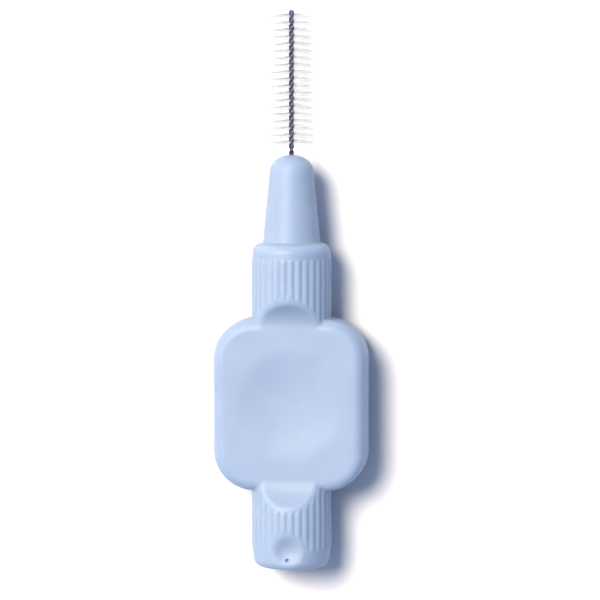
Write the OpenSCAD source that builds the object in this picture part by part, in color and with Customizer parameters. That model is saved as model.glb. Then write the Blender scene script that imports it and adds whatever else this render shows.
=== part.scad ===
// Interdental brush lying on its back: long axis along Y with the wire tip at +Y,
// thumb plate facing up, origin under the middle of its length, in millimetres.

/* [Barrels and nose] */
// Diameter over the grip ribs of both barrels
barrel_d = 8.55; // [8.2:0.05:9.2]
// Length of the lower barrel, from its flat end to the thumb plate
lower_barrel_l = 8.4; // [8:0.1:11]
// Length of the collar, from the thumb plate to its shoulder
collar_l = 8.1; // [7:0.1:11]
// Length of the nose above the collar's shoulder
nose_l = 9.5; // [8:0.1:13]
// Diameter of the nose where it stands on the shoulder
nose_base_d = 6.15; // [5.6:0.05:6.6]
// Diameter that the nose's taper would reach at its tip if the tip were not domed
nose_tip_d = 4.3; // [3.6:0.05:5]

/* [Thumb plate] */
// Width across the brush
plate_w = 16.4; // [14:0.1:20]
// Length along the brush
plate_l = 18.5; // [17:0.1:22]
// Thickness between its two faces
plate_t = 5.5; // [4.8:0.1:6]
// Radius of its corners, seen from above
plate_corner_r = 4.3; // [3.6:0.1:5.5]
// Radius of its rounded rim
plate_edge_r = 1.2; // [0.8:0.1:1.6]
// Width of the round thumb dish in each face
dish_d = 12; // [9:0.1:13]
// Depth of the thumb dish
dish_depth = 0.35; // [0.2:0.05:0.5]
// How far each scoop reaches into a barrel
scoop_reach = 1.86; // [1.4:0.02:2.4]
// Length of a scoop's slope, from its foot on the plate to its top edge
scoop_run = 2.9; // [2.6:0.02:3.4]

/* [Grip ribs] */
// Number of ribs round a barrel
rib_count = 32; // [28:2:36]
// Width of one rib
rib_w = 0.6; // [0.5:0.02:0.66]
// Height of a rib over the groove beside it
rib_h = 0.15; // [0.12:0.01:0.2]

/* [Gate dimple] */
// Length of the dimple in the front of the lower barrel
dimple_l = 3.2; // [2.4:0.1:3.4]
// Depth of the dimple
dimple_depth = 0.75; // [0.5:0.05:1]
// Distance of the dimple's middle from the barrel's flat end
dimple_y = 2.05; // [1.9:0.05:3]
// Diameter of the moulding gate's mark in the dimple
gate_d = 0.44; // [0.2:0.02:0.6]

/* [Twisted wire] */
// Diameter of the bare steel wire
wire_d = 0.2; // [0.16:0.01:0.26]
// Thickness of the plastic coat on the wire
coat_t = 0.02; // [0.014:0.001:0.04]
// Length in which the folded wire makes one whole turn
twist_pitch = 1.5; // [1.3:0.05:2]
// Length of twisted wire that stands out of the nose
exposed_l = 15.5; // [15.2:0.1:18]
// Length of twisted wire held inside the nose
buried_l = 6; // [4:0.1:8]

/* [Bristles] */
// Diameter over the bristle tips
brush_d = 5.2; // [4:0.1:7]
// Length of wire that carries bristles
bristled_l = 14.1; // [12:0.1:14.2]
// Distance of the first bristle from the wire's tip
first_bristle = 0.36; // [0.32:0.01:0.6]
// Number of bristle rows, each about one turn of the wire
row_count = 10; // [6:1:10]
// Number of filaments in a row, each with two ends that stand out
row_filaments = 22; // [12:1:25]
// Thickness of the layer of filaments pinched between the wire's two legs
ribbon_t = 0.07; // [0.05:0.01:0.1]

/* [Hidden] */
function row_name(row) = str("bristle_row_", row < 9 ? "0" : "", row + 1);
$fn = 64;
// How far a cut runs past the surface that it opens
overrun = 0.5;

// The handle's stations along its axis, from the flat end
plate_y0 = lower_barrel_l;
plate_y1 = plate_y0 + plate_l;
shoulder_y = plate_y1 + collar_l;
nose_tip_y = shoulder_y + nose_l;
tip_y = nose_tip_y + exposed_l;

// The smooth bands lie a little below the ribs' crests and a little above the grooves
crest_r = barrel_d / 2;
groove_r = crest_r - rib_h;
band_drop = 0.075;
band_r = crest_r - band_drop;
// Length over which the ribs run out at a band
runout_l = 0.35;
// Lengths of the smooth bands at the lower barrel's end and under the shoulder
end_band_l = 1.95;
collar_band_l = 1.95;
// Width of the smooth border round a scoop or the dimple
border_w = 0.45;
// The lower barrel's end band narrows by this much down to the rounding of its flat end
end_taper = 0.23;
end_corner_r = 0.95;
// The rounding of the shoulder
shoulder_corner_r = 1;
// A small dip below a face, so that a cut crosses it instead of grazing it
graze = 0.03;

// Two ribs straddle the middle of the back, and the brush rests on them
rib_centre_r = crest_r - rib_w / 2;
axis_h = rib_centre_r * cos(180 / rib_count) + rib_w / 2;

// The nose's taper and the dome that it runs into
nose_taper = atan((nose_base_d - nose_tip_d) / 2 / nose_l);
dome_r = nose_tip_d / 2 * cos(nose_taper) / (1 - sin(nose_taper));

// Each scoop is a round cut across the brush, from the plate's face up to the band's height
face_h = plate_t / 2;
scoop_depth = band_r - face_h + graze;
scoop_r = (pow(scoop_run, 2) + pow(scoop_depth, 2)) / 2 / scoop_depth;
scoop_foot = scoop_run - scoop_reach;
dish_r = (pow(dish_d / 2, 2) + pow(dish_depth, 2)) / 2 / dish_depth;
dimple_r = (pow(dimple_l / 2, 2) + pow(dimple_depth, 2)) / 2 / dimple_depth;
gate_y = dimple_y - dimple_l / 4;
gate_depth = gate_d;

// The coat lies on the steel with a film's clearance, and pinch_gap keeps the legs off the filaments
film_gap = 0.002;
pinch_gap = 0.005;
leg_r = wire_d / 2 + film_gap + coat_t;
leg_offset = ribbon_t / 2 + pinch_gap + leg_r;
// Behind the last bristle the legs close on each other, over this length and down to this gap
closing_l = 0.4;
closed_gap = 0.01;
closed_offset = leg_r + closed_gap / 2;
bore_gap = 0.01;
bore_r = closed_offset + leg_r + bore_gap;
// Rings in one turn of a leg, in the loop at its tip, and the sides of a ring
turn_rings = 10;
loop_rings = 6;
ring_sides = 6;
// Length over which the twist sets in below the loop, and the loop's angle
twist_ease = 0.1;
twist_start = 50;
// The loop's centre, behind the wire's tip, and the last bristle, behind the loop's centre
loop_y = leg_offset + leg_r;
last_bristle = first_bristle + bristled_l - loop_y;

// A filament takes this share of its spacing, the rest is the space to the next
filament_share = 0.7;
row_gap = 0.01;
row_l = bristled_l / row_count;
filament_pitch = row_l / row_filaments;
// Half the width of the pinched layer, out to where the bristles leave it
ribbon_half_w = leg_offset - pinch_gap;
// Lengths of neighbouring bristles as shares of the longest
bristle_length_shares = [1, 0.94, 0.98, 0.9, 0.96, 1, 0.92];

// Turns a shape drawn up Z so that it runs along Y
module along_y() {
    rotate([-90, 0, 0]) children();
}

// Moves a piece drawn from the handle's flat end to its place over the origin
module placed() {
    translate([0, -tip_y / 2, axis_h]) children();
}

// Both faces of the handle carry the same cuts
module both_faces() {
    children();
    mirror([0, 0, 1]) children();
}

// Cross-section of a ribbed barrel: round ribs half sunk in a core
module ribbed_section() {
    circle(r = groove_r);
    for (i = [0:rib_count - 1]) {
        rotate((i + 0.5) * 360 / rib_count - 90) translate([rib_centre_r, 0]) circle(d = rib_w);
    }
}

// A ribbed length from y0 to y1 whose ribs rise out of a smooth band at y0
module ribbed_barrel(y0, y1) {
    intersection() {
        translate([0, y0 - runout_l, 0]) along_y() linear_extrude(y1 - y0 + runout_l) ribbed_section();
        translate([0, y0, 0]) along_y() rotate_extrude() polygon([
            [0, -runout_l],
            [groove_r, -runout_l],
            [band_r, 0],
            [crest_r + rib_h, runout_l * rib_h / band_drop],
            [crest_r + rib_h, y1 - y0 + overrun],
            [0, y1 - y0 + overrun],
        ]);
    }
}

// A smooth length whose end is rounded by corner_r and which narrows by taper from band_l to there;
// past the band it drops under the grooves
module smooth_barrel(corner_r, taper, band_l, total_l) {
    end_r = band_r - taper;
    along_y() rotate_extrude() {
        square([end_r - corner_r, corner_r]);
        translate([end_r - corner_r, corner_r]) circle(r = corner_r);
        polygon([
            [0, corner_r],
            [end_r, corner_r],
            [band_r, band_l],
            [groove_r - rib_h, band_l + 2 * runout_l],
            [groove_r - rib_h, total_l],
            [0, total_l],
        ]);
    }
}

// The ground plan of the smooth border round a cut of this width
module border_plan(centre_y, width) {
    translate([0, centre_y, 0]) cylinder(r = width / 2 + border_w, h = barrel_d);
}

// The smooth border itself, up to the height of the bands
module border(y0, y1, centre_y, width) {
    intersection() {
        translate([0, y0, 0]) along_y() cylinder(r = band_r, h = y1 - y0);
        border_plan(centre_y, width + graze);
    }
}

module lower_barrel() {
    length = plate_y0 + scoop_foot;
    smooth_barrel(end_corner_r, end_taper, end_band_l, length);
    difference() {
        ribbed_barrel(end_band_l, length);
        both_faces() border_plan(length, 2 * scoop_run);
        border_plan(dimple_y, dimple_l);
    }
    both_faces() border(end_band_l, length, length, 2 * scoop_run);
    border(end_band_l, length, dimple_y, dimple_l);
}

module collar() {
    length = collar_l + scoop_foot;
    translate([0, shoulder_y, 0]) mirror([0, 1, 0]) {
        smooth_barrel(shoulder_corner_r, 0, collar_band_l, length);
        difference() {
            ribbed_barrel(collar_band_l, length);
            both_faces() border_plan(length, 2 * scoop_run);
        }
        both_faces() border(collar_band_l, length, length, 2 * scoop_run);
    }
}

module nose() {
    dome_y = nose_l - dome_r;
    translate([0, shoulder_y, 0]) along_y() rotate_extrude() intersection() {
        union() {
            translate([0, dome_y]) circle(r = dome_r);
            polygon([
                [0, -overrun],
                [nose_base_d / 2, -overrun],
                [nose_base_d / 2, 0],
                [dome_r * cos(nose_taper), dome_y + dome_r * sin(nose_taper)],
                [0, dome_y + dome_r * sin(nose_taper)],
            ]);
        }
        translate([0, -overrun]) square([nose_base_d, nose_l + 2 * overrun]);
    }
}

// Half profile of the plate's rounded rim, from the corner's centre outwards
module rim_profile() {
    difference() {
        union() {
            translate([0, -face_h]) square([plate_corner_r - plate_edge_r, plate_t]);
            translate([0, plate_edge_r - face_h]) square([plate_corner_r, plate_t - 2 * plate_edge_r]);
            for (side = [-1, 1]) {
                translate([plate_corner_r - plate_edge_r, side * (face_h - plate_edge_r)])
                    circle(r = plate_edge_r);
            }
        }
        translate([-plate_corner_r, -plate_t]) square([plate_corner_r, 2 * plate_t]);
    }
}

// The plate's blank is a middle block, four rim bars and four quarter-round corners
module plate_blank() {
    inner_w = plate_w - 2 * plate_corner_r;
    inner_l = plate_l - 2 * plate_corner_r;
    cube([inner_w, inner_l, plate_t], center = true);
    for (side = [0, 1]) {
        rotate(180 * side) {
            translate([inner_w / 2, inner_l / 2, 0]) rotate([90, 0, 0])
                linear_extrude(inner_l) rim_profile();
            translate([-inner_w / 2, inner_l / 2, 0]) rotate([90, 0, 90])
                linear_extrude(inner_w) rim_profile();
            translate([inner_w / 2, inner_l / 2, 0])
                rotate_extrude(angle = 90) rim_profile();
            translate([-inner_w / 2, inner_l / 2, 0])
                rotate(90) rotate_extrude(angle = 90) rim_profile();
        }
    }
}

// The dishes are cut before the barrels join the plate, because their spheres are wider than it
module thumb_plate() {
    translate([0, plate_y0 + plate_l / 2, 0]) difference() {
        plate_blank();
        both_faces() translate([0, 0, face_h - dish_depth + dish_r]) sphere(r = dish_r);
    }
}

// One scoop: a cylinder across the brush whose lowest line is the scoop's foot
module scoop(foot_y) {
    translate([-barrel_d, foot_y, face_h - graze + scoop_r]) rotate([0, 90, 0])
        cylinder(r = scoop_r, h = 2 * barrel_d);
}

module gate_dimple() {
    translate([0, dimple_y, band_r - dimple_depth + dimple_r]) sphere(r = dimple_r);
    translate([0, gate_y, band_r - dimple_depth - gate_depth]) cylinder(d = gate_d, h = barrel_d);
}

module wire_bore() {
    translate([0, nose_tip_y - buried_l - bore_gap, 0]) along_y()
        cylinder(r = bore_r, h = buried_l + bore_gap + overrun);
}

module handle() {
    color("lightsteelblue") placed() difference() {
        union() {
            lower_barrel();
            thumb_plate();
            collar();
            nose();
        }
        both_faces() scoop(plate_y0 + scoop_foot);
        both_faces() scoop(plate_y1 - scoop_foot);
        gate_dimple();
        wire_bore();
    }
}

// Angle of the twist at a distance behind the loop's centre; it sets in gently under the loop
function twist_angle(d) = twist_start + 360 / twist_pitch * (d - twist_ease * (1 - exp(-d / twist_ease)));

// Direction across the wire at an angle of the twist
function across(angle) = [cos(angle), 0, sin(angle)];

// Distance of a leg from the axis: wide round the filaments, closed behind the last of them
function leg_away(d) =
    let (t = max(0, min(1, (d - last_bristle) / closing_l)))
    leg_offset - (leg_offset - closed_offset) * t * t * (3 - 2 * t);

// A leg's station: its centre, the direction away from the axis and the direction of travel
function leg_station(d, side, way) =
    let (
        out = across(twist_angle(d) + 180 * side),
        round = across(twist_angle(d) + 180 * side + 90),
        swing = leg_away(d) * 2 * PI / twist_pitch * (1 - exp(-d / twist_ease)),
        travel = way * (swing * round - [0, 1, 0])
    )
    [leg_away(d) * out + [0, tip_y - loop_y - d, 0], out, travel / norm(travel)];

// The loop's station at an angle round its half circle
function loop_station(a) =
    let (
        out = cos(a) * across(twist_start) + sin(a) * [0, 1, 0],
        travel = -sin(a) * across(twist_start) + cos(a) * [0, 1, 0]
    )
    [leg_offset * out + [0, tip_y - loop_y, 0], out, travel];

// The whole wire's route: up one leg, round the loop at the tip and down the other
leg_l = exposed_l + buried_l - loop_y;
leg_rings = ceil(leg_l / twist_pitch * turn_rings);
wire_route = concat(
    [for (i = [leg_rings:-1:0]) leg_station(leg_l * i / leg_rings, 0, -1)],
    [for (i = [1:loop_rings - 1]) loop_station(180 * i / loop_rings)],
    [for (i = [0:leg_rings]) leg_station(leg_l * i / leg_rings, 1, 1)]
);

// Rings of points round the route, with a flat side towards the axis
function wire_skin(r) = [
    for (s = wire_route) let (round = cross(s[2], s[1]))
        for (k = [0:ring_sides - 1]) let (a = (k + 0.5) * 360 / ring_sides)
            s[0] + r * (cos(a) * s[1] + sin(a) * round)
];

// The triangles of a skin whose first point has the index base; flip turns them inside out
function skin_faces(base, flip) = [
    for (i = [0:len(wire_route) - 2], k = [0:ring_sides - 1])
        let (
            next = (k + 1) % ring_sides,
            a = base + i * ring_sides + k,
            b = base + (i + 1) * ring_sides + k,
            c = base + (i + 1) * ring_sides + next,
            d = base + i * ring_sides + next
        )
        each flip ? [[a, c, b], [a, d, c]] : [[a, b, c], [a, c, d]]
];

last_ring = (len(wire_route) - 1) * ring_sides;

module wire() {
    faces = concat(
        skin_faces(0, false),
        [for (k = [1:ring_sides - 2]) [0, k, k + 1]],
        [for (k = [1:ring_sides - 2]) [last_ring, last_ring + k + 1, last_ring + k]]
    );
    color("silver") placed() polyhedron(wire_skin(wire_d / 2), faces);
}

// The coat is an outer and an inner skin, joined by a ring of triangles at each buried end
module wire_coating() {
    inner = len(wire_route) * ring_sides;
    ends = [for (k = [0:ring_sides - 1]) let (next = (k + 1) % ring_sides)
        each [
            [k, next, inner + next],
            [k, inner + next, inner + k],
            [last_ring + k, inner + last_ring + next, last_ring + next],
            [last_ring + k, inner + last_ring + k, inner + last_ring + next],
        ]
    ];
    color("darkslategray") placed() polyhedron(
        concat(wire_skin(leg_r), wire_skin(leg_r - coat_t)),
        concat(skin_faces(0, false), skin_faces(inner, true), ends)
    );
}

// Distance of a row's station behind the loop: even stations open a filament, odd ones close it
function row_station(row, i) =
    first_bristle - loop_y + row * row_l + filament_pitch * (floor(i / 2) + (i % 2) * filament_share)
    - (i == 2 * row_filaments ? row_gap : 0);

// The four corners of the pinched layer at a station
function layer_corners(d) =
    let (
        out = ribbon_t / 2 * across(twist_angle(d)),
        round = ribbon_half_w * across(twist_angle(d) + 90),
        centre = [0, tip_y - loop_y - d, 0]
    )
    [centre + out + round, centre - out + round, centre - out - round, centre + out - round];

// The corner indices of one side of the layer between station i and the next
function layer_side(i, k) = [4 * i + k, 4 * i + 4 + k, 4 * i + 4 + (k + 1) % 4, 4 * i + (k + 1) % 4];

function split(quad) = [[quad[0], quad[1], quad[2]], [quad[0], quad[2], quad[3]]];

// One row: a twisted slice of the pinched layer with a four-sided bristle on both edges at each filament
module bristle_row(row) {
    last = 2 * row_filaments;
    layer = [for (i = [0:last]) each layer_corners(row_station(row, i))];
    bristle_l = brush_d / 2 - ribbon_half_w;
    tips = [
        for (j = [0:row_filaments - 1], side = [0, 1])
            let (
                middle = (row_station(row, 2 * j) + row_station(row, 2 * j + 1)) / 2,
                pick = (3 * j + 5 * side + 2 * row) % len(bristle_length_shares),
                length = bristle_l * bristle_length_shares[pick],
                reach = length * across(twist_angle(middle) + 90 + 180 * side)
            )
            for (p = layer_side(2 * j, 2 * side)) layer[p] + reach
    ];
    bristles = [
        for (j = [0:row_filaments - 1], side = [0, 1])
            let (
                root = layer_side(2 * j, 2 * side),
                first = len(layer) + 8 * j + 4 * side,
                tip = [first, first + 1, first + 2, first + 3]
            )
            each concat(
                split(tip),
                [for (m = [0:3]) let (n = (m + 1) % 4) each split([root[m], root[n], tip[n], tip[m]])]
            )
    ];
    slice = [
        for (i = [0:last - 1], k = [0:3])
            if (i % 2 == 1 || k % 2 == 1) each split(layer_side(i, k))
    ];
    ends = concat(
        split([0, 1, 2, 3]),
        split([4 * last + 3, 4 * last + 2, 4 * last + 1, 4 * last])
    );
    color("whitesmoke") placed() polyhedron(concat(layer, tips), concat(slice, bristles, ends));
}

handle();
wire();
wire_coating();
for (row = [0:row_count - 1]) {
    bristle_row(row);
}
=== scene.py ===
import bpy
import numpy as np
from mathutils import Matrix, Vector


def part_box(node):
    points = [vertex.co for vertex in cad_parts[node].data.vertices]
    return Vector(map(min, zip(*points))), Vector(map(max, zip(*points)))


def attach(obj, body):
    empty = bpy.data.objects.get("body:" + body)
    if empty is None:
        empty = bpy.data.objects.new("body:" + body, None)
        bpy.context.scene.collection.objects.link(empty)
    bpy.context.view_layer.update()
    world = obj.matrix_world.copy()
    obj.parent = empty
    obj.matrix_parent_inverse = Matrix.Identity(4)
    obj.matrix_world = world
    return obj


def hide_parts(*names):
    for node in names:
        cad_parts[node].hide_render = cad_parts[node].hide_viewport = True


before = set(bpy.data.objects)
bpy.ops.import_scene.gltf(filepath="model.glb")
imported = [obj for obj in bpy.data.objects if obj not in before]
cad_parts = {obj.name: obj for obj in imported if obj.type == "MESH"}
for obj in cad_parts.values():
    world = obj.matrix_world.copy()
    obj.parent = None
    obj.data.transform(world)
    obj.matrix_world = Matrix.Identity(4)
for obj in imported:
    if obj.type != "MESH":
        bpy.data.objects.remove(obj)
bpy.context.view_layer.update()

# The handle: one injection moulding of light blue polypropylene, made round the buried end of the wire.
# A flat-ended lower barrel, a thumb plate with a dish in each face, a collar and a domed nose run into
# each other over small radii, and fine grip ribs fade out at smooth borders round the scoops and dimple.
mm = 0.001
handle_low, handle_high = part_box("handle")
axis_height = (handle_low.z + handle_high.z) / 2
flat_end = handle_low.y
handle_l = handle_high.y - handle_low.y
plate_w = handle_high.x - handle_low.x
# Thumb plate and dishes. Places along the handle count from its flat end.
plate_l = 18.5 * mm
plate_t = 5.5 * mm
plate_corner_r = 4.3 * mm
plate_edge_r = 1.2 * mm
dish_r = 5.5 * mm
dish_depth = 0.42 * mm
dish_blend = 0.12 * mm
plate_start = 8.4 * mm
plate_stop = plate_start + plate_l
plate_middle = plate_start + plate_l / 2
# Lower barrel and collar: the ribs' crests, and the smooth bands that lie a little under them.
collar_l = 8.1 * mm
shoulder = plate_stop + collar_l
crest_r = 4.275 * mm
rib_h = 0.125 * mm
rib_count = 32
rib_fade = 0.35 * mm
band_drop = 0.075 * mm
band_r = crest_r - band_drop
band_l = 1.95 * mm
collar_band_l = 1.47 * mm
end_taper = 0.23 * mm
end_corner_r = 0.95 * mm
shoulder_corner_r = 1 * mm
# Scoops: how far each reaches into its barrel, the length over which its floor rises, and their borders.
lower_scoop_reach = 1.62 * mm
lower_scoop_run = 3.1 * mm
upper_scoop_reach = 1.82 * mm
upper_scoop_run = 2.5 * mm
scoop_curve = 2.1
scoop_depth = band_r - plate_t / 2
scoop_hollow = 0.12
scoop_plan_r = 2.8 * mm
scoop_edge_blend = 0.35 * mm
border_w = 0.4 * mm
border_fade = 0.36 * mm
barrel_past_foot = 0.9 * mm
level_past_foot = 0.5 * mm
floor_fall = 0.3
# Nose, and the fillets between the parts.
nose_base_r = 3.075 * mm
nose_tip_r = 2.17 * mm
dome_flatness = 0.77
nose_blend = 0.3 * mm
least_fillet = 0.004 * mm
side_fillet = 0.3 * mm
fillet_from_x = 2.7 * mm
fillet_fade = 1 * mm
# Dimple in the barrel's front, and the mark that the mould's gate left in it.
dimple_y = 1.97 * mm
dimple_half_l = 1.6 * mm
dimple_depth = 0.65 * mm
dimple_r = (dimple_half_l**2 + dimple_depth**2) / (2 * dimple_depth)
dimple_stretch = 0.72
dimple_blend = 0.4 * mm
gate_offset = 0.88 * mm
gate_y = dimple_y - gate_offset
gate_r = 0.19 * mm
gate_floor = 3.37 * mm
gate_mound_h = 0.05 * mm
gate_blend = 0.06 * mm


def soft_larger(a, b, blend):
    """The larger of a and b, raised by blend / 4 (1 - |a - b| / blend)^2 where they lie within blend."""
    near = np.maximum(1 - np.abs(a - b) / blend, 0)
    return np.maximum(a, b) + blend / 4 * near**2


def soft_smaller(a, b, blend):
    """The smaller of a and b, lowered in the same way."""
    return -soft_larger(-a, -b, blend)


def ease(x):
    """0 below 0, 1 above 1, and 3x^2 - 2x^3 between."""
    x = np.clip(x, 0, 1)
    return x * x * (3 - 2 * x)


def round_edge(a, b, r):
    """Distance from two faces at a = 0 and b = 0 that meet over a round edge of radius r:
    the distance from the edge's axis past both faces' insets, and the larger of a and b elsewhere."""
    return np.hypot(np.maximum(a + r, 0), np.maximum(b + r, 0)) + np.minimum(np.maximum(a, b) + r, 0) - r


def barrel_field(x, y, z):
    """Signed distance from the lower barrel and the collar, each measured from its own free end:
    radius minus a rib wave |sin(rib_count / 2 turn)|, faded to the smooth band by ease() of the distance
    to a band or border, with a rounded end. The scoops cut it down to a floor that rises from the plate's
    face by scoop_depth (q / scoop_run)^scoop_curve, with q^2 = (length before the foot)^2 + hollow x^2 and
    hollow growing from 0 at the foot to scoop_hollow at the top. Past the foot the floor lies level with
    the face, and further in it falls away under it."""
    lower = y < plate_middle
    free = np.where(lower, y, shoulder - y)
    scoop_top = np.where(lower, plate_start - lower_scoop_reach, shoulder - plate_stop - upper_scoop_reach)
    scoop_run = np.where(lower, lower_scoop_run, upper_scoop_run)
    run_out = ease((free - np.where(lower, band_l, collar_band_l)) / rib_fade)
    off_scoop = np.hypot(x, free - scoop_top - scoop_plan_r) - scoop_plan_r
    run_out *= ease((off_scoop - border_w) / border_fade)
    off_dimple = ease((np.hypot(x, y - dimple_y) - dimple_half_l - border_w) / border_fade)
    run_out *= np.where(lower & (z > 0), off_dimple, 1)
    wave = np.abs(np.sin(rib_count / 2 * (np.arctan2(z, x) - np.pi / 2)))
    r = band_r + run_out * (band_drop - rib_h * (1 - wave))
    r -= np.where(lower, end_taper * np.clip(1 - free / band_l, 0, 1), 0)
    corner = np.where(lower, end_corner_r, shoulder_corner_r)
    body = round_edge(np.hypot(x, z) - r, -free, corner)
    past_foot = free - scoop_top - scoop_run
    body = np.maximum(body, past_foot - barrel_past_foot)
    hollow = scoop_hollow * ease(-past_foot / scoop_run)
    q = np.sqrt(np.maximum(-past_foot, 0) ** 2 + hollow * x**2)
    rise = scoop_depth * (q / scoop_run) ** scoop_curve
    steepness = scoop_curve * scoop_depth / scoop_run * (q / scoop_run) ** (scoop_curve - 1)
    scoop = (np.abs(z) - plate_t / 2 - rise) / np.hypot(1, steepness)
    scoop += floor_fall * np.maximum(past_foot - level_past_foot, 0)
    return soft_larger(body, scoop, scoop_edge_blend)


def plate_field(x, y, z):
    """Signed distance from the thumb plate: a rounded rectangle from above and flat faces, met over a
    round rim, with each face lowered by dish_depth (1 - (radius / dish_r)^2) inside the dish."""
    out_x = np.abs(x) - plate_w / 2 + plate_corner_r
    out_y = np.abs(y - plate_middle) - plate_l / 2 + plate_corner_r
    outline = round_edge(out_x - plate_corner_r, out_y - plate_corner_r, plate_corner_r)
    dish = dish_depth * (1 - (x**2 + (y - plate_middle) ** 2) / dish_r**2)
    face = np.abs(z) - plate_t / 2 + soft_larger(dish, 0 * dish, dish_blend)
    return round_edge(outline, face, plate_edge_r)


def nose_field(x, y, z):
    """Signed distance from the nose: a cone from inside the collar to the tip, with radius - nose_base_r +
    tan(slope) (y - shoulder), and past it a dome that the cone touches all round. The dome is a ball that
    is flattened along the nose: hypot(radius, length from its centre / dome_flatness) - dome_r."""
    slope = np.arctan2(nose_base_r - nose_tip_r, handle_l - shoulder)
    touch = np.arctan(dome_flatness * np.tan(slope))
    dome_r = nose_tip_r * np.cos(touch) / (1 - np.sin(touch))
    r = np.hypot(x, z)
    along = (y - handle_l) / dome_flatness + dome_r
    cone = (r - nose_base_r + (y - shoulder) * np.tan(slope)) * np.cos(slope)
    cone = np.maximum(cone, shoulder - nose_base_r - y)
    return np.where(along * np.cos(touch) > r * np.sin(touch), np.hypot(r, along) - dome_r, cone)


def handle_field(x, y, z):
    """Signed distance from the whole handle: its parts joined with small fillets, which fade where the
    scoops run into the plate, less the dimple, the cap of a ball that is a little wider than long. The gate
    mark in it is a low mound, gate_mound_h exp(-(distance / (2 gate_r))^2), with a flat-floored pit."""
    fillet = least_fillet + side_fillet * ease((np.abs(x) - fillet_from_x) / fillet_fade)
    body = soft_smaller(barrel_field(x, y, z), plate_field(x, y, z), fillet)
    body = soft_smaller(body, nose_field(x, y, z), nose_blend)
    above = band_r - dimple_depth + dimple_r
    hollow = dimple_r - np.sqrt(dimple_stretch * x**2 + (y - dimple_y) ** 2 + (z - above) ** 2)
    gate = np.where(z > 0, np.hypot(x, y - gate_y), dimple_r)
    body = soft_larger(body, hollow, dimple_blend) - gate_mound_h * np.exp(-((gate / (2 * gate_r)) ** 2))
    return soft_larger(body, np.minimum(gate_r - gate, z - gate_floor), gate_blend)


# Rows of the handle's surface: each is cut by a cone round the axis through a guide point at a radius and
# a place along the handle, tilted from square to the axis; the squeeze draws columns to the plate's rim.
# Where the plate meets a barrel, the guide points lie just outside the corner, so that no two rows cross.
slope_end = plate_start - 0.1 * mm
slope_begin = plate_stop + 0.1 * mm
corner_r = crest_r + 0.15 * mm
side = plate_w / 2
end_centre = 1.3 * mm
dome_centre = handle_l - 2.4 * mm
handle_rows = (
    # radius, place along, tilt in degrees, squeeze, rows from here to the next
    (0, end_centre, -90, 1.5, 4),
    (0, end_centre, -40, 1.5, 6),
    (0, end_centre, -24, 1.5, 9),
    (0, end_centre, -8, 1.5, 12),
    (0, end_centre, 0, 1.5, 5),
    (crest_r, 1.6 * mm, 0, 1.5, 6),
    (crest_r, 2.1 * mm, 0, 1, 16),
    (crest_r, 4.1 * mm, 0, 1, 9),
    (crest_r, 6 * mm, 0, 1, 27),
    (corner_r, slope_end, 0, 1, 22),
    (corner_r, slope_end, -55, 1, 10),
    (5.6 * mm, plate_start + 0.35 * mm, -39.6, 0.9, 8),
    (7 * mm, plate_start + 1.3 * mm, -24.9, 0.75, 6),
    (7.9 * mm, plate_start + 2.7 * mm, -12.5, 0.65, 5),
    (side, plate_start + plate_corner_r, 0, 0.6, 27),
    (side, plate_stop - plate_corner_r, 0, 0.6, 5),
    (7.9 * mm, plate_stop - 2.7 * mm, 12.5, 0.65, 6),
    (7 * mm, plate_stop - 1.3 * mm, 24.9, 0.75, 8),
    (5.6 * mm, plate_stop - 0.35 * mm, 39.6, 0.9, 10),
    (corner_r, slope_begin, 55, 1, 22),
    (corner_r, slope_begin, 0, 1, 25),
    (crest_r, 29.3 * mm, 0, 1, 10),
    (crest_r, 33.1 * mm, 0, 1, 7),
    (crest_r, 33.65 * mm, 0, 1, 4),
    (band_r, shoulder - shoulder_corner_r, 0, 1, 8),
    (3.2 * mm, shoulder, 50, 1, 5),
    (3.05 * mm, shoulder + 0.3 * mm, 40, 1, 3),
    (3 * mm, shoulder + 0.9 * mm, 0, 1, 12),
    (2.4 * mm, dome_centre, 0, 1, 16),
    (0, dome_centre, 82, 1, 4),
    (0, dome_centre, 90, 1, 0),
)
columns_per_rib = 9


def ray_hits(field, start, direction, reach, steps=60, halvings=22):
    """First point along each ray where the field turns positive: the ray is walked in equal steps, and the
    step that leaves the solid is halved again and again."""
    def at(t):
        return field(*(s + t * d for s, d in zip(start, direction)))

    inside = np.zeros_like(direction[0])
    found = np.zeros(inside.shape, bool)
    for k in range(1, steps + 1):
        t = np.full(inside.shape, reach * k / steps)
        out = at(t) > 0
        inside = np.where(~found & ~out, t, inside)
        found |= out
    outside = inside + reach / steps
    for _ in range(halvings):
        middle = (inside + outside) / 2
        out = at(middle) > 0
        inside = np.where(out, inside, middle)
        outside = np.where(out, middle, outside)
    return [s + inside * d for s, d in zip(start, direction)]


def ring_quads(rows, columns, closed=False):
    """Corner numbers of the quads between neighbouring rings of points, row by row, and also between the
    last ring and the first where closed is true."""
    row, column = np.meshgrid(np.arange(rows if closed else rows - 1), np.arange(columns), indexing="ij")
    ahead = (row + 1) % rows
    beside = (column + 1) % columns
    return np.stack([row * columns + column, ahead * columns + column,
                     ahead * columns + beside, row * columns + beside], -1).reshape(-1, 4)


def smooth_piece(name, vertices, faces):
    """An object in the scene with a smooth shaded mesh of these points and faces."""
    mesh = bpy.data.meshes.new(name)
    mesh.from_pydata(vertices.tolist(), [], faces)
    mesh.polygons.foreach_set("use_smooth", np.ones(len(mesh.polygons), bool))
    mesh.validate()
    piece = bpy.data.objects.new(name, mesh)
    bpy.context.scene.collection.objects.link(piece)
    return piece


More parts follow.
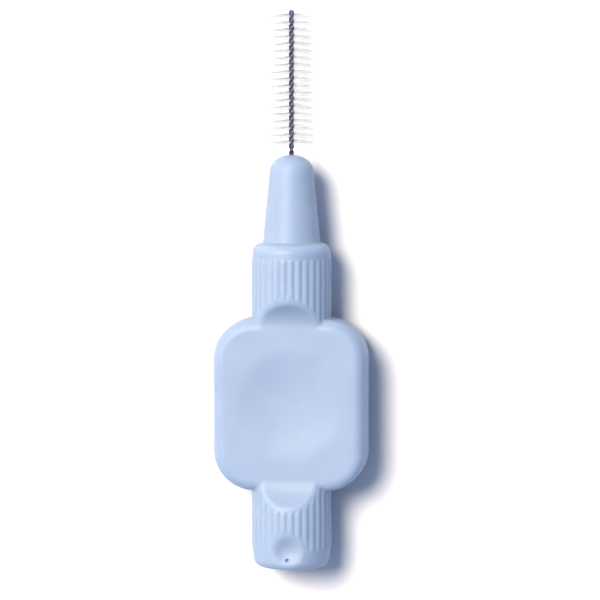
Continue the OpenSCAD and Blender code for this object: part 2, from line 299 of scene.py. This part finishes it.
def closed_grid(name, points, first_pole, last_pole):
    """A piece from rings of points: quads between rings, and a fan of triangles to the pole at each end."""
    rows, columns, _ = points.shape
    vertices = np.vstack([points.reshape(-1, 3), first_pole, last_pole])
    quads = ring_quads(rows, columns)
    here = np.arange(columns)
    following = (here + 1) % columns
    last_row = (rows - 1) * columns
    fans = np.vstack([
        np.stack([np.full(columns, rows * columns), here, following], -1),
        np.stack([np.full(columns, rows * columns + 1), last_row + following, last_row + here], -1),
    ])
    return smooth_piece(name, vertices, quads.tolist() + fans.tolist())


def handle_surface():
    """Points where rays from the axis leave the handle: row by row the rays keep to a cone, given by
    handle_rows, and column by column they go round by atan2(squeeze sin t, cos t)."""
    guide = np.array([row[:4] for row in handle_rows], float)
    counts = [row[4] for row in handle_rows]
    shares = np.concatenate([k + np.arange(n) / n for k, n in enumerate(counts[:-1])])[1:]
    radius, along, tilt, squeeze = (np.interp(shares, np.arange(len(guide)), column) for column in guide.T)
    tilt = np.radians(tilt)[:, None]
    apex = along[:, None] - radius[:, None] * np.tan(tilt)
    turn = (np.arange(rib_count * columns_per_rib) + 0.5) * 2 * np.pi / (rib_count * columns_per_rib)
    turn = np.arctan2(squeeze[:, None] * np.sin(turn), np.cos(turn))
    direction = [np.cos(turn) * np.cos(tilt), np.sin(tilt) + 0 * turn, np.sin(turn) * np.cos(tilt)]
    start = [0 * turn, apex + 0 * turn, 0 * turn]
    x, y, z = ray_hits(handle_field, start, direction, reach=11 * mm)
    return np.stack([x, y + flat_end, z + axis_height], -1)


# The skin's pole at the tip lies a little under the dome's top, where the wire covers it.
tip_sink = 0.02 * mm
end_pole = (0, flat_end, axis_height)
tip_pole = (0, flat_end + handle_l - tip_sink, axis_height)
handle_skin = closed_grid("handle_skin", handle_surface(), end_pole, tip_pole)


def set_inputs(shader, values):
    """Sets a shader node's own inputs by their names, with _ for each space in them."""
    for name, value in values.items():
        shader.inputs[name.replace("_", " ")].default_value = value
    return shader


def node(tree, kind, **values):
    """A new shader node with these values on its inputs."""
    return set_inputs(tree.nodes.new(kind), values)


def finish(name, **values):
    """A new material with these values on its shader's inputs, its node tree, and that shader."""
    material = bpy.data.materials.new(name)
    material.use_nodes = True
    surface = set_inputs(material.node_tree.nodes["Principled BSDF"], values)
    return material, material.node_tree, surface


def mottle(tree, scale, detail, roughness=0.5):
    """A cloudy pattern with about scale clouds to the metre, fixed to the piece by its own coordinates."""
    place = tree.nodes.new("ShaderNodeTexCoord")
    cloud = node(tree, "ShaderNodeTexNoise", Scale=scale, Detail=detail, Roughness=roughness)
    tree.links.new(place.outputs["Object"], cloud.inputs["Vector"])
    return cloud.outputs["Fac"]


def tint(tree, pattern, low, high, start=0, stop=1):
    """A colour that goes from low to high as the pattern goes from start to stop."""
    ramp = tree.nodes.new("ShaderNodeValToRGB")
    for end, position, color in zip(ramp.color_ramp.elements, (start, stop), (low, high)):
        end.position = position
        end.color = (*color, 1)
    tree.links.new(pattern, ramp.inputs["Fac"])
    return ramp.outputs["Color"]


def vary(tree, pattern, low, high, start=0, stop=1):
    """A number that goes from low to high as the pattern goes from start to stop."""
    span = node(tree, "ShaderNodeMapRange", From_Min=start, From_Max=stop, To_Min=low, To_Max=high)
    tree.links.new(pattern, span.inputs["Value"])
    return span.outputs["Result"]


def relief(tree, pattern, strength, height):
    """A fine relief of this height that follows the pattern."""
    bump = node(tree, "ShaderNodeBump", Strength=strength, Distance=height)
    tree.links.new(pattern, bump.inputs["Height"])
    return bump


def satin_polypropylene():
    """Light blue polypropylene: slightly waxy, with cloudy pigment, a spark-eroded micro grain and the soft
    waves that a thick moulding draws as it cools."""
    material, tree, surface = finish(
        "satin_polypropylene", IOR=1.49, Specular_IOR_Level=0.36, Subsurface_Weight=0.8,
        Subsurface_Radius=(0.5, 0.8, 1.3), Subsurface_Scale=1 * mm,
    )
    link = tree.links.new
    cloud = mottle(tree, scale=260, detail=3)
    pigment = tint(tree, cloud, low=(0.32, 0.405, 0.53), high=(0.34, 0.425, 0.55), start=0.3, stop=0.7)
    sheen = vary(tree, cloud, low=0.44, high=0.52, start=0.3, stop=0.7)
    waves = mottle(tree, scale=190, detail=1, roughness=0.4)
    grain = mottle(tree, scale=14000, detail=2, roughness=0.6)
    wavy_skin = relief(tree, waves, strength=0.25, height=0.02 * mm)
    grained_skin = relief(tree, grain, strength=0.12, height=0.004 * mm)
    link(pigment, surface.inputs["Base Color"])
    link(sheen, surface.inputs["Roughness"])
    link(wavy_skin.outputs["Normal"], grained_skin.inputs["Normal"])
    link(grained_skin.outputs["Normal"], surface.inputs["Normal"])
    return material


handle_skin.data.materials.append(satin_polypropylene())
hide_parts("handle")
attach(handle_skin, "root")

# The wire: drawn stainless steel, folded into a hairpin at the tip, its two legs twisted round each other
# and moulded into the nose. It lies wholly inside its coat, and only its buried ends are bare.
wire_r = 0.1 * mm
coat_gap = 0.002 * mm
coat_t = 0.03 * mm
leg_r = wire_r + coat_gap + coat_t
pinch_half = 0.03 * mm
leg_offset = pinch_half + leg_r
closing_l = 0.4 * mm
closed_gap = 0.005 * mm
closed_offset = leg_r + closed_gap
twist_pitch = 1.5 * mm
twist_ease = 0.1 * mm
twist_start = np.radians(8)
bristle_rows = sorted(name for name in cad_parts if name.startswith("bristle_row_"))
wire_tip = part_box("wire_coating")[1].y
loop_centre = wire_tip - leg_offset - leg_r
last_bristle = loop_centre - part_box(bristle_rows[-1])[0].y
leg_l = loop_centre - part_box("wire")[0].y


def twist_angle(back):
    """Angle of the twist at a distance back from the loop: a steady turn per pitch that sets in gently,
    start + 2 pi / pitch (back - ease (1 - exp(-back / ease)))."""
    return twist_start + 2 * np.pi / twist_pitch * (back - twist_ease * (1 - np.exp(-back / twist_ease)))


def across(angle):
    """Directions square to the brush's axis at these angles."""
    return np.stack([np.cos(angle), 0 * angle, np.sin(angle)], -1)


def hairpin_route(rings_per_turn=48, loop_rings=20):
    """Centres, outward directions and travel directions along the wire: up one leg's helix, round the half
    circle at the tip, down the other leg. Behind the last bristle the legs close on each other."""
    back = np.linspace(0, leg_l, int(leg_l / twist_pitch * rings_per_turn))
    away = leg_offset - (leg_offset - closed_offset) * ease((back - last_bristle) / closing_l)
    swing = away * 2 * np.pi / twist_pitch * (1 - np.exp(-back / twist_ease))
    forward = np.array([0, 1, 0])
    legs = []
    for side_turn, way in ((0, -1), (np.pi, 1)):
        angle = twist_angle(back) + side_turn
        out = across(angle)
        centre = away[:, None] * out + (loop_centre - back)[:, None] * forward + [0, 0, axis_height]
        travel = way * (swing[:, None] * across(angle + np.pi / 2) - forward)
        legs.append((centre, out, travel / np.linalg.norm(travel, axis=1)[:, None]))
    round_loop = np.pi * np.arange(1, loop_rings)[:, None] / loop_rings
    sideways = across(np.array([twist_start]))
    out = np.cos(round_loop) * sideways + np.sin(round_loop) * forward
    travel = -np.sin(round_loop) * sideways + np.cos(round_loop) * forward
    loop = (leg_offset * out + loop_centre * forward + [0, 0, axis_height], out, travel)
    up, down = legs
    return [np.vstack([up[k][::-1], loop[k], down[k]]) for k in range(3)]


def tube_rings(route, radius, sides):
    """Rings round the route: centre + radius (cos a out + sin a round), with round square to both."""
    centre, out, travel = route
    around = np.cross(travel, out)
    a = 2 * np.pi * np.arange(sides) / sides
    ring = np.cos(a)[:, None] * out[:, None, :] + np.sin(a)[:, None] * around[:, None, :]
    return centre[:, None, :] + radius * ring


wire_route = hairpin_route()
steel_rings = tube_rings(wire_route, wire_r, sides=10)
steel_wire = closed_grid("steel_wire", steel_rings, wire_route[0][0], wire_route[0][-1])


def drawn_steel():
    """Stainless wire: bright grey metal with fine draw marks along it."""
    material, tree, surface = finish("drawn_steel", Metallic=1)
    marks = mottle(tree, scale=30000, detail=2)
    tone = tint(tree, marks, low=(0.52, 0.53, 0.55), high=(0.66, 0.67, 0.69))
    polish = vary(tree, marks, low=0.22, high=0.38)
    tree.links.new(tone, surface.inputs["Base Color"])
    tree.links.new(polish, surface.inputs["Roughness"])
    return material


steel_wire.data.materials.append(drawn_steel())
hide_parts("wire")
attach(steel_wire, "root")

# The coat: a thin dark slate plastic skin over the whole wire, drawn on before it is folded and twisted.
# It is a hollow tube round the steel, open only at the buried ends.


def sleeve(name, outer, inner):
    """A hollow tube: rings go out along the outer skin and come back along the inner one, and both ends
    are closed by the band between the two."""
    rings = np.concatenate([outer, inner[::-1]])
    rows, columns, _ = rings.shape
    return smooth_piece(name, rings.reshape(-1, 3), ring_quads(rows, columns, closed=True).tolist())


outer_skin = tube_rings(wire_route, leg_r, sides=12)
inner_skin = tube_rings(wire_route, leg_r - coat_t, sides=12)
wire_coat = sleeve("wire_coat", outer_skin, inner_skin)


def slate_coat():
    """The coat's plastic: dark slate with a violet tinge and a soft gloss, a little uneven all over."""
    material, tree, surface = finish("slate_coat", IOR=1.5)
    uneven = mottle(tree, scale=2500, detail=3)
    tone = tint(tree, uneven, low=(0.05, 0.05, 0.12), high=(0.095, 0.095, 0.21), start=0.35, stop=0.65)
    gloss = vary(tree, uneven, low=0.28, high=0.42)
    skin = relief(tree, uneven, strength=0.15, height=0.004 * mm)
    tree.links.new(tone, surface.inputs["Base Color"])
    tree.links.new(gloss, surface.inputs["Roughness"])
    tree.links.new(skin.outputs["Normal"], surface.inputs["Normal"])
    return material


wire_coat.data.materials.append(slate_coat())
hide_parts("wire_coating")
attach(wire_coat, "root")

# The bristles: clear nylon filaments, laid between the wire's two legs before these are twisted, which
# pinches each at its middle and fans its two ends out square to the wire. Ten rows, one to a turn. So thin
# and clear a filament bends light round itself and hardly shades what is behind it, so none casts a shadow.
brush_r = 2.6 * mm
shortest_share = 0.82
longest_share = 0.99
first_bristle = 0.36 * mm
bristled_l = 14.1 * mm
row_l = bristled_l / len(bristle_rows)
filaments_per_row = 54
filament_r = 0.02 * mm
end_thinning = 0.35
place_scatter = (0.2, 0.8)
fan_scatter = 0.06
bend_along = 0.04 * mm
lean_along = 0.03 * mm
bend_aside = 0.12 * mm
first_seed = 31


def filament_points(row, rings=10, sides=5):
    """Rings of all the filaments of one row, as an array filament by ring by side. A filament's middle line
    is axis + s reach out + (bend s^2 + lean s) along the wire + bend s^3 sideways, for s from -1 to 1.
    Reach, bends and lean are drawn at random, and the thickness falls by end_thinning |s|^6."""
    draw = np.random.default_rng(first_seed + row)
    n = filaments_per_row
    place = row + (np.arange(n) + draw.uniform(*place_scatter, n)) / n
    back = first_bristle - (wire_tip - loop_centre) + row_l * place
    out = across(twist_angle(back) + np.pi / 2 + draw.normal(0, fan_scatter, n))
    aside = np.cross(out, [0, 1, 0])
    s = np.linspace(-1, 1, rings)
    reach = brush_r * np.stack([draw.uniform(shortest_share, longest_share, n) for _ in range(2)])
    length = np.where(s[None, :] < 0, reach[0][:, None], reach[1][:, None])
    rise = draw.normal(0, bend_along, (n, 1)) * s**2 + draw.normal(0, lean_along, (n, 1)) * s
    drift = draw.normal(0, bend_aside, (n, 1)) * s**3
    centre = (length * s)[:, :, None] * out[:, None, :] + drift[:, :, None] * aside[:, None, :]
    centre = centre + (loop_centre - back[:, None] + rise)[:, :, None] * [0, 1, 0] + [0, 0, axis_height]
    a = 2 * np.pi * np.arange(sides) / sides
    thickness = filament_r * (1 - end_thinning * np.abs(s) ** 6)
    ring = np.cos(a)[:, None] * np.array([0, 1, 0]) + np.sin(a)[:, None] * aside[:, None, None, :]
    return centre[:, :, None, :] + thickness[None, :, None, None] * ring


def filament_mesh(name, rings):
    """One piece of all the filaments: quads along each, and a flat cap at both its cut ends."""
    n, rows, sides, _ = rings.shape
    base = np.arange(n)[:, None] * rows * sides
    quads = (base[:, :, None] + ring_quads(rows, sides)).reshape(-1, 4)
    first = base + np.arange(sides)
    last = base + (rows - 1) * sides + np.arange(sides)[::-1]
    return smooth_piece(name, rings.reshape(-1, 3), quads.tolist() + first.tolist() + last.tolist())


def clear_nylon():
    """Translucent nylon: nearly clear, a little lighter where it is stretched, with a soft gloss. Its grey
    is painted shade, standing in for the darker surroundings that a clear filament shows as it bends light.
    """
    material, tree, surface = finish("clear_nylon", IOR=1.5, Alpha=0.36)
    stretch = mottle(tree, scale=3000, detail=2)
    # Painted shade: this grey stands in for the darker surroundings that a clear filament shows as it bends
    # light.
    tone = tint(tree, stretch, low=(0.41, 0.47, 0.51), high=(0.5, 0.56, 0.6))
    gloss = vary(tree, stretch, low=0.25, high=0.4)
    tree.links.new(tone, surface.inputs["Base Color"])
    tree.links.new(gloss, surface.inputs["Roughness"])
    return material


nylon_with_painted_shade = clear_nylon()
for row, cad_row in enumerate(bristle_rows):
    bristles = filament_mesh(cad_row.replace("bristle_row", "filaments"), filament_points(row))
    bristles.data.materials.append(nylon_with_painted_shade)
    bristles.visible_shadow = False
    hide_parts(cad_row)
    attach(bristles, "root")

# The stage: a sheet of matt white paper on a studio table, flat and far wider than the view. The brush lies
# on it on two ribs of each barrel.
floor_half = 3.0
floor_mesh = bpy.data.meshes.new("floor")
corners = [(-floor_half, -floor_half, 0), (floor_half, -floor_half, 0),
           (floor_half, floor_half, 0), (-floor_half, floor_half, 0)]
floor_mesh.from_pydata(corners, [], [(0, 1, 2, 3)])
floor = bpy.data.objects.new("floor", floor_mesh)
bpy.context.scene.collection.objects.link(floor)
white = (0.73, 0.745, 0.76, 1)
paper, _, _ = finish("white_paper", Base_Color=white, Roughness=0.9, Specular_IOR_Level=0.1)
floor_mesh.materials.append(paper)

# The light: a broad, soft and warm key from the upper left, and a cool dim sky that fills its shadow. The
# two together leave the paper almost neutral where nothing shades it.
key_from = Vector((-0.38, 0.38, 1))
key = bpy.data.lights.new("key", "SUN")
key.energy = 5.2
key.angle = np.radians(30)
key.color = (1, 0.875, 0.715)
key_lamp = bpy.data.objects.new("key", key)
key_lamp.rotation_euler = key_from.to_track_quat("Z", "Y").to_euler()
bpy.context.scene.collection.objects.link(key_lamp)
sky = bpy.data.worlds.new("sky")
sky.use_nodes = True
glow = sky.node_tree.nodes["Background"]
glow.inputs["Color"].default_value = (0.69, 0.81, 1.14, 1)
glow.inputs["Strength"].default_value = 0.56
bpy.context.scene.world = sky

# The camera: a long lens half a metre off, nearly square above the plate. It leans a few degrees to the
# right and towards the wire's tip, as the photograph's view does.
view_width = 64.5 * mm
camera_distance = 0.5
look_at = Vector((0.92 * mm, -1.15 * mm, axis_height))
lean_right = np.radians(7)
lean_up = np.radians(5)
towards = Vector((np.tan(lean_right), np.tan(lean_up), 1)).normalized()
right = Vector((0, 1, 0)).cross(towards).normalized()
lens = bpy.data.cameras.new("camera")
lens.sensor_width = 36
lens.lens = lens.sensor_width * camera_distance / view_width
lens.clip_start = 0.01
camera = bpy.data.objects.new("camera", lens)
camera.location = look_at + camera_distance * towards
camera.rotation_euler = Matrix((right, towards.cross(right), towards)).transposed().to_euler()
bpy.context.scene.collection.objects.link(camera)
bpy.context.scene.camera = camera
bpy.context.scene.view_settings.view_transform = "Standard"
bpy.context.scene.view_settings.gamma = 0.8

bpy.context.view_layer.update()
